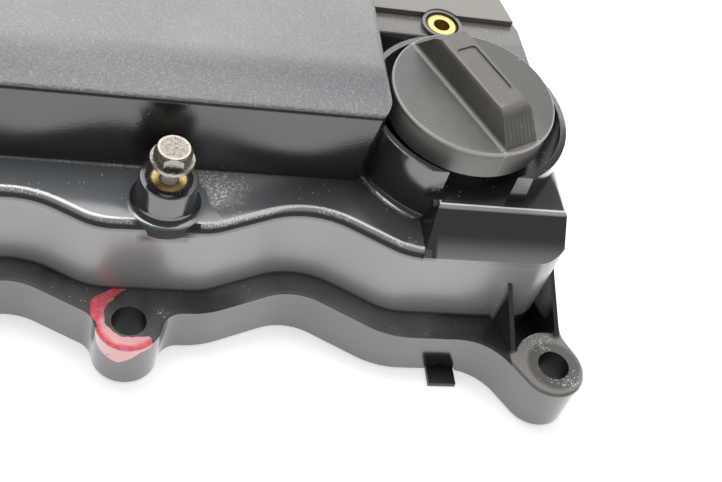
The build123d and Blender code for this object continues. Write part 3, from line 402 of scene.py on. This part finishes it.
def cover_faces(centres, normals):
    """Raised body above the lip: grain. Its sides: satin. Faces that look down and the bolt holes
    of two front bosses: as moulded. The foot of the insert boss: the same dull nylon, as painted
    shade. The rest: polish."""
    x, y, z = centres.T
    rise = normals[:, 2]
    on_body = (x > -0.1845) & (x < BODY_RIGHT + 0.0004) & (y > -0.0585) & (y < 0.0705)
    on_body &= z > DECK_TOP + 0.0004
    holes = np.zeros(len(x), bool)
    for hole_x, hole_y in (BOLT_BOSS, EAR_HOLE):
        holes |= (np.hypot(x - hole_x, y - hole_y) < HOLE_REACH) & (np.abs(rise) < 0.5)
    # Painted shade: the foot of the insert boss gets the dull as-moulded nylon
    foot = np.hypot(x - FRONT_INSERT[0], y - FRONT_INSERT[1]) < SHADED_FOOT_REACH
    foot &= (z > 0.0440) & (z < 0.0521) & (rise < 0.97)
    moulded_and_shade = (rise < -0.5) | holes | foot
    return np.select([moulded_and_shade, on_body & (z > BODY_LIP), on_body],
                     [MOULDED_AND_SHADE, GRAINED, SATIN], POLISHED)


cover = smooth_copy("cover_shell", (nylon, body_top, body_side, raw), pick=cover_faces)

# ---------------------------------------------------------------- marker paint on a bolt boss
# A workshop mark in thick red marker, brushed round the left of the boss, over its rim and a little
# way down its front. It is a skin on the moulding, pink in patches where the coat is thin; the pink
# on the front of the pad and down the wall is painted highlight.

CHAMFER_FOOT = 0.0192
RIM_RADIUS = 0.0098
WALL_RADIUS = 0.01064
SKIN = 0.00006


def wobble(angle, seeds, size):
    """A ragged edge: a sum of sines of the angle with rising frequency and falling size."""
    total = np.zeros_like(angle)
    for n, seed in enumerate(seeds):
        total += size / (1.0 + 0.5 * n) * np.sin(angle * (3.0 + 4.3 * n) + seed)
    return total


def grid_faces(rows, columns, closed):
    """Quads of a grid of rows by columns of points, as whole arrays."""
    column = np.arange(columns if closed else columns - 1)
    row = np.arange(rows - 1)[:, None]
    beside = (column + 1) % columns
    corners = (row * columns + column, row * columns + beside, (row + 1) * columns + beside,
               (row + 1) * columns + column)
    return np.stack([c.ravel() for c in np.broadcast_arrays(*corners)], axis=1)


def around(centre, radius, angle, height):
    """Points at a radius, angle and height about an upright axis, each a number or a grid."""
    x = centre[0] + radius * np.cos(angle)
    y = centre[1] + radius * np.sin(angle)
    return np.stack(np.broadcast_arrays(x, y, height), axis=-1)


def surface(name, points, material, closed=False, smooth=True):
    """A mesh on the cover from a grid of points (rows, columns, 3); closed joins the last column to
    the first."""
    rows, columns = points.shape[:2]
    mesh = bpy.data.meshes.new(name)
    mesh.from_pydata(points.reshape(-1, 3).tolist(), [], grid_faces(rows, columns, closed).tolist())
    mesh.materials.append(material)
    mesh.polygons.foreach_set("use_smooth", np.full(len(mesh.polygons), smooth))
    mesh.update()
    piece = bpy.data.objects.new(name, mesh)
    scene.collection.objects.link(piece)
    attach(piece, "cover")


def paint_on_top():
    """Flat part: a point at angle a and share t lies on the flange top at radius
    outer(a) + t * (inner(a) - outer(a)), both edges ragged."""
    angle = np.linspace(math.radians(94), math.radians(318), 121)
    turn = np.degrees(angle)
    outer = np.interp(turn, [94, 105, 120, 150, 172, 186, 200, 318],
                      [0.0122, 0.0132, 0.0133, 0.0133, 0.0120, 0.0101, RIM_RADIUS, RIM_RADIUS])
    outer = outer + wobble(angle, (0.3, 1.9, 4.0), 0.00025) * (turn < 186)
    inner = np.interp(turn, [94, 104, 118, 122, 150, 185, 230, 290, 318],
                      [0.0118, 0.0112, 0.0100, 0.0090, 0.0086, 0.0076, 0.0061, 0.0061, 0.0084])
    inner = inner + wobble(angle, (1.1, 2.4, 0.7), 0.00022)
    share = np.linspace(0, 1, 10)[:, None]
    return around(BOLT_BOSS, outer + (inner - outer) * share, angle, FLANGE_TOP + SKIN)


def paint_over_rim():
    """Rim and front: a point at angle a and share t follows the boss's section, down the chamfer
    and then the wall at the boss radius, to the ragged foot(a)."""
    angle = np.linspace(math.radians(194), math.radians(314), 81)
    foot = np.interp(np.degrees(angle), [194, 205, 232, 255, 268, 290, 314],
                     [0.0182, 0.0152, 0.0122, 0.0118, 0.0135, 0.0172, 0.0190])
    foot = foot + wobble(angle, (0.8, 3.0, 5.1), 0.0003)
    share = np.linspace(0, 1, 12)[:, None]
    bend = 0.25
    radius = np.interp(share, [0, bend, 1], [RIM_RADIUS, WALL_RADIUS, WALL_RADIUS])
    chamfer = FLANGE_TOP + SKIN - (FLANGE_TOP - CHAMFER_FOOT) * share / bend
    wall = CHAMFER_FOOT + SKIN + (foot - CHAMFER_FOOT) * (share - bend) / (1 - bend)
    return around(BOLT_BOSS, radius, angle, np.where(share < bend, chamfer, wall))


paint, tree, shader = shade("marker_paint", (0.8, 0.06, 0.07), 0.22, coat=0.6)
height, cloud = put(tree, grain, Scale=500.0)
x, y, z = position(tree)
# Painted highlight: pink on the front of the pad round the hole and on the wall below the chamfer
ring = times(tree, column(tree, BOLT_BOSS, 0.0094, 0.0010), ramp(tree, y, -0.0920, -0.0950))
thin_coat_and_highlight = maths(tree, "MAXIMUM", ring, ramp(tree, z, CHAMFER_FOOT, CHAMFER_FOOT - 0.0008))
thin_coat_and_highlight = maths(tree, "ADD", thin_coat_and_highlight, ramp(tree, height, 0.4, 0.7, 0.0, 0.35), clamp=True)
join(tree, shader, Base_Color=layered(tree, (1.0, 0.14, 0.17), (thin_coat_and_highlight, (1.0, 0.50, 0.53)),
                                      (specked(tree, 700.0, 0.12, 0.3), (0.30, 0.03, 0.03))))
bump(tree, shader, height, 0.4, 0.0003)
surface("paint_top", paint_on_top(), paint)
surface("paint_rim", paint_over_rim()[:, ::-1], paint)

# ---------------------------------------------------------------- gasket and rubber seals
# Moulded black rubber: the gasket sits in the channel of the flange and shows a short tab at the
# front, and the seals of the plug wells, the cap and the valve are soft rings.
rubber = finish(shade("gasket_rubber", (0.02, 0.02, 0.02), 0.5), 1500.0,
                ((0.02, 0.02, 0.02), (0.5, 0.5, 0.48)), rough=(0.4, 0.6), relief=(0.3, 0.0002),
                specks=(900.0, 0.1, 0.25))
smooth_copy("perimeter_gasket", (rubber,))

seal_rubber = finish(shade("seal_rubber", (0.03, 0.03, 0.03), 0.5), 1800.0,
                     ((0.02, 0.02, 0.02), (0.045, 0.043, 0.04)), relief=(0.3, 0.00015))
for name in ("filler_cap_seal", "plug_well_seal_1", "plug_well_seal_2", "plug_well_seal_3",
             "plug_well_seal_4", "vent_valve_seal"):
    smooth_copy(name, (seal_rubber,))

# ---------------------------------------------------------------- oil filler cap
# Moulded in a satin nylon with a fine grain, grey-brown with age, and darker and browner over the
# face on one side of the grip. The thumb grip's near end is fluted; the pale lines along the rim
# and the foot of the grip are painted highlights, the lighter skirt a painted reflection and the
# lighter grip top painted sheen.

CAP_CENTRE = (0.1643, -0.0401, 0.0)
CAP_FACE = 0.0800
CAP_RADIUS = 0.0275
GRIP_TOP = 0.0900
GRIP_TURN = math.radians(-63.3)
FLUTE_RATE = 3900.0

cap_nylon, tree, shader = shade("cap_nylon", (0.055, 0.05, 0.045), 0.42, ior=1.6, level=1.0)
height, cloud = put(tree, grain, Scale=1500.0)
where = add_node(tree, "ShaderNodeTexCoord")
turned = join(tree, add_node(tree, "ShaderNodeMapping", vector_type="TEXTURE"),
              Vector=where.outputs["Object"], Location=CAP_CENTRE, Rotation=(0.0, 0.0, GRIP_TURN))
along, across, z = parts(tree, turned.outputs[0])
radius = maths(tree, "ADD", maths(tree, "POWER", along, 2.0), maths(tree, "POWER", across, 2.0))
radius = maths(tree, "SQRT", radius)
mottle = join(tree, add_node(tree, "ShaderNodeTexNoise"), Vector=where.outputs["Object"],
              Scale=260.0, Detail=6.0, Roughness=0.7)
# Painted highlight: a pale line along the cap's rim
rim = times(tree, ramp(tree, radius, CAP_RADIUS - 0.0007, CAP_RADIUS),
            ramp(tree, z, CAP_FACE - 0.0012, CAP_FACE - 0.0003))
# Painted reflection: the cap's skirt below the rim is made lighter
skirt_reflection = times(tree, ramp(tree, radius, CAP_RADIUS - 0.0013, CAP_RADIUS - 0.0007),
              ramp(tree, z, CAP_FACE - 0.0012, CAP_FACE - 0.0025))
aside = maths(tree, "ABSOLUTE", across)
# Painted highlight: pale lines along the creases at the foot of the grip
crease_highlight = times(tree, ramp(tree, aside, 0.0079, 0.0072), ramp(tree, aside, 0.0062, 0.0068),
               ramp(tree, z, CAP_FACE + 0.0012, CAP_FACE + 0.0003))
colour = layered(
    tree, (0.055, 0.052, 0.048),
    (ramp(tree, cloud, 0.3, 0.7), (0.105, 0.096, 0.083)),
    # painted sheen: lighter toward the top of the grip
    (ramp(tree, z, GRIP_TOP - 0.0025, GRIP_TOP - 0.0002, 0.0, 0.35), (0.15, 0.13, 0.11)),
    (ramp(tree, mottle.outputs["Fac"], 0.52, 0.72, 0.0, 0.55), (0.035, 0.031, 0.028)),
    (ramp(tree, across, 0.0080, 0.0180, 0.0, 0.75), (0.034, 0.028, 0.019)),
    (times(tree, crease_highlight, 0.75), (0.42, 0.41, 0.38)),
    (times(tree, rim, 0.9), (0.55, 0.52, 0.47)),
    (times(tree, skirt_reflection, 0.8), (0.32, 0.31, 0.29)),
    (specked(tree, 800.0, 0.07, 0.22), (0.3, 0.27, 0.24)))
join(tree, shader, Base_Color=colour, Roughness=ramp(tree, cloud, 0.3, 0.7, 0.36, 0.5))
wave = maths(tree, "SINE", times(tree, across, FLUTE_RATE))
flutes = times(tree, wave, ramp(tree, along, 0.0195, 0.0205),
               ramp(tree, z, CAP_FACE + 0.0005, CAP_FACE + 0.0015))
relief = maths(tree, "ADD", times(tree, height, 0.45), times(tree, flutes, 0.35))
bump(tree, shader, relief, 0.4, 0.0003)
smooth_copy("oil_filler_cap", (cap_nylon,))

# ---------------------------------------------------------------- brass inserts
# Turned brass bushes pressed into the bosses. Each has a knurled collar whose teeth bite into the
# nylon, and round it the moulding has a moat with fine radial ribs.

REAR_INSERT = (0.1667, 0.0114)
TEETH = 34
TOOTH_ANGLES = np.linspace(0, 2 * math.pi, TEETH * 4, endpoint=False)
TOOTH_SAW = np.abs((TOOTH_ANGLES * TEETH / (2 * math.pi)) % 1.0 - 0.5) * 2

brass = finish(shade("insert_brass", (0.72, 0.55, 0.22), 0.24, metallic=1.0), 1800.0,
               ((0.92, 0.78, 0.28), (0.85, 0.58, 0.24)), rough=(0.28, 0.46),
               relief=(0.25, 0.0001), rough_by="Height")
for name in ("front_boss_insert", "rear_boss_insert", "coil_inserts"):
    smooth_copy(name, (brass,))


def knurl(centre, top, outer):
    """A toothed collar: its outer radius is outer - share * (outer - bore) * saw(a), where saw
    climbs and falls once a tooth, from the foot up to the top and then in to the bore."""
    bore, foot, bevel, lip, share = 0.00450, 0.0014, 0.0001, 0.0006, 0.55
    crest = outer - (outer - bore) * share * TOOTH_SAW
    inward = np.full_like(crest, bore)
    radius = np.stack([crest, crest, crest - bevel, inward, inward])
    height = top - np.array([foot, bevel, 0, 0, lip])[:, None]
    return around(centre, radius, TOOTH_ANGLES, height)


def moat_ribs(centre, top, outer):
    """Nylon round a knurl: the inner edge is at 5.0 mm + 0.8 mm * saw(a), so black points reach in
    between the brass teeth, and outside it ribs of the same count rise and fall."""
    groove = 0.0061
    rings = np.array([groove, 0.5 * (groove + outer), outer])[:, None] + 0 * TOOTH_SAW
    radius = np.vstack([0.0050 + 0.0008 * TOOTH_SAW, rings])
    drop = np.array([0, 0.0002, 0.0004, 0.0002])[:, None]
    swing = np.array([0, 0.0006, 0.0006, 0.0004])[:, None]
    return around(centre, radius, TOOTH_ANGLES, top - drop - swing * TOOTH_SAW)


surface("front_knurl", knurl(FRONT_INSERT, 0.06195, 0.00600), brass,
        closed=True, smooth=False)
surface("rear_knurl", knurl(REAR_INSERT, 0.06305, 0.00590), brass,
        closed=True, smooth=False)
ribs = finish(shade("moat_nylon", (0.02, 0.02, 0.02), 0.3, ior=1.66, level=1.0), 1500.0,
              ((0.02, 0.02, 0.02), (0.5, 0.5, 0.48)), rough=(0.22, 0.4), specks=(1700.0, 0.5, 0.3))
surface("front_moat_ribs", moat_ribs(FRONT_INSERT, 0.0621, 0.00728)[::-1], ribs,
        closed=True, smooth=False)
surface("rear_moat_ribs", moat_ribs(REAR_INSERT, 0.0632, 0.00628)[::-1], ribs,
        closed=True, smooth=False)

# ---------------------------------------------------------------- flange bolt
# A plated M6 flange bolt left half screwed in. The head is forged with a shallow dish, and the
# plating has gone dull and warm. Its shank carries a rolled thread of 1 mm pitch.

HEAD_TOP = 0.0756

steel, tree, shader = shade("bolt_steel", (0.46, 0.43, 0.38), 0.32, metallic=1.0)
height, cloud = put(tree, grain, Scale=1300.0)
x, y, z = position(tree)
dish = column(tree, FRONT_INSERT, 0.0044, 0.0005)
# Painted highlight: the top of the head outside its dish is lighter
head_top = ramp(tree, z, HEAD_TOP - 0.0008, HEAD_TOP)
head_rim_highlight = maths(tree, "SUBTRACT", head_top, times(tree, head_top, dish))
colour = layered(
    tree, (0.25, 0.23, 0.205),
    (ramp(tree, height, 0.35, 0.7), (0.40, 0.37, 0.325)),
    (times(tree, head_rim_highlight, 0.8), (0.55, 0.52, 0.46)),
    (specked(tree, 1100.0, 0.12, 0.22), (0.25, 0.21, 0.17)))
join(tree, shader, Base_Color=colour, Roughness=ramp(tree, height, 0.3, 0.7, 0.26, 0.42))
bump(tree, shader, height, 0.3, 0.0002)

THREAD_FOOT = 0.0540
THREAD_TOP = 0.0700
SHANK_TOP = 0.0697
SHANK_REACH = 0.0031
PITCH = 0.001
ROOT_RADIUS = 0.00248
THREAD_DEPTH = 0.00048


def rolled_thread():
    """Bolt thread: radius root + depth * tri(z / pitch - a / 2 pi), a triangle wave that climbs one
    pitch per turn, faded out under the head and at the tip."""
    angle = np.linspace(0, 2 * math.pi, 49)[:-1]
    z = np.linspace(THREAD_FOOT, THREAD_TOP, 193)[:, None]
    phase = (z / PITCH - angle / (2 * math.pi)) % 1.0
    ridge = 1 - np.abs(phase - 0.5) * 2
    fade = np.clip((THREAD_TOP - 0.0002 - z) / 0.0006, 0, 1)
    fade = fade * np.clip((z - THREAD_FOOT - 0.0001) / PITCH, 0, 1)
    return around(FRONT_INSERT, ROOT_RADIUS + THREAD_DEPTH * ridge * fade, angle, z)


def on_shank(face):
    """Whether a face of the bolt belongs to its plain shank, which the thread takes over."""
    x, y, z = face.calc_center_median()
    return z < SHANK_TOP and math.hypot(x - FRONT_INSERT[0], y - FRONT_INSERT[1]) < SHANK_REACH


bolt = smooth_copy("bracket_bolt", (steel,))
bm = bmesh.new()
bm.from_mesh(bolt.data)
bmesh.ops.delete(bm, geom=[face for face in bm.faces if on_shank(face)], context="FACES")
bm.to_mesh(bolt.data)
bm.free()
# Painted light: the thread gets a lighter copy of the bolt's steel, so it stands out of the shade
# under the head
lit_thread_steel = finish(shade("lit_thread_steel", (0.62, 0.58, 0.54), 0.25, metallic=1.0), 1500.0,
                      ((0.72, 0.66, 0.6), (0.5, 0.44, 0.4)), rough=(0.2, 0.35),
                      relief=(0.2, 0.0001), rough_by="Height")
surface("bolt_thread", rolled_thread(), lit_thread_steel, closed=True)

# ---------------------------------------------------------------- baffle, screws and vent valve
# Plain moulded parts that sit under the cover or at its far side: the baffle is held by zinc
# plated self-tapping screws, and the vent valve screws into its own boss.
baffle_nylon = finish(shade("baffle_nylon", (0.03, 0.03, 0.03), 0.45), 900.0,
                      ((0.022, 0.022, 0.022), (0.045, 0.043, 0.04)), rough=(0.36, 0.55),
                      relief=(0.25, 0.0002))
smooth_copy("separator_baffle", (baffle_nylon,))
smooth_copy("crankcase_vent_valve", (baffle_nylon,))
zinc = finish(shade("screw_steel", (0.6, 0.6, 0.6), 0.35, metallic=1.0), 1400.0,
              ((0.5, 0.5, 0.5), (0.68, 0.68, 0.69)), relief=(0.2, 0.0001), tone_by="Height")
smooth_copy("baffle_screws", (zinc,))

# ---------------------------------------------------------------- table
# A plain white table. It glows a little, and more to the camera and in reflections, so it looks
# clear white there and still shows a soft shadow under the part.
bpy.ops.mesh.primitive_plane_add(size=6.0, location=(0, 0, -0.0002))
floor = bpy.context.object
floor.name = "floor"
table, tree, shader = shade("table_white", (0.82, 0.82, 0.82), 0.7, level=0.0)
paths = add_node(tree, "ShaderNodeLightPath").outputs
seen = maths(tree, "MAXIMUM", paths["Is Camera Ray"], paths["Is Transmission Ray"])
glow = maths(tree, "ADD", times(tree, seen, 0.3), times(tree, paths["Is Glossy Ray"], 0.8))
glow = maths(tree, "ADD", glow, 0.3)
join(tree, shader, Emission_Color=(1, 1, 1), Emission_Strength=glow)
floor.data.materials.append(table)

# ---------------------------------------------------------------- light
# A white room: soft fill from all sides, a bright box almost overhead that draws the lines along
# the round edges, a wide strip beside it, and a window behind.
world = bpy.data.worlds.new("studio")
world.use_nodes = True
scene.world = world
sky = world.node_tree
paths = add_node(sky, "ShaderNodeLightPath").outputs
fill = join(sky, add_node(sky, "ShaderNodeMix"), i0=paths["Is Glossy Ray"], i2=0.36, i3=0.22)
join(sky, sky.nodes["Background"], Color=(1, 1, 1), Strength=fill.outputs[0])


def softbox(name, place, aim, width, height, radiance):
    """A rectangular lamp at a place, facing a point, with the brightness of its face given."""
    data = bpy.data.lights.new(name, "AREA")
    data.shape = "RECTANGLE"
    data.size = width
    data.size_y = height
    data.energy = radiance * width * height * math.pi
    lamp = bpy.data.objects.new(name, data)
    scene.collection.objects.link(lamp)
    lamp.location = place
    lamp.rotation_mode = "QUATERNION"
    lamp.rotation_quaternion = (Vector(aim) - Vector(place)).to_track_quat("-Z", "Y")


softbox("overhead", (-0.12, 0.36, 1.46), (0.05, 0, 0.05), 0.7, 0.6, 5.5)
softbox("strip", (0.45, 0.40, 1.45), (0.05, 0, 0.05), 2.0, 0.6, 2.4)
softbox("window", (0.20, 1.00, 0.68), (0.05, 0, 0.06), 2.4, 0.5, 1.9)

# ---------------------------------------------------------------- camera
# Held by hand above the front edge and a little rolled, looking down to the corner with the filler
# cap. The vectors are the camera's own right, up and back in the part's frame.
camera_data = bpy.data.cameras.new("camera")
camera_data.lens = 58.92
camera_data.sensor_width = 36.0
camera_data.clip_start = 0.01
camera_data.clip_end = 20.0
camera = bpy.data.objects.new("camera", camera_data)
scene.collection.objects.link(camera)
right = Vector((0.964913, -0.115059, 0.236019))
above = Vector((-0.057253, 0.785052, 0.616779))
back = Vector((-0.256252, -0.608651, 0.750918))
placed = Matrix((right, above, back)).transposed().to_4x4()
placed.translation = Vector((0.03289, -0.30809, 0.330))
camera.matrix_world = placed
scene.camera = camera
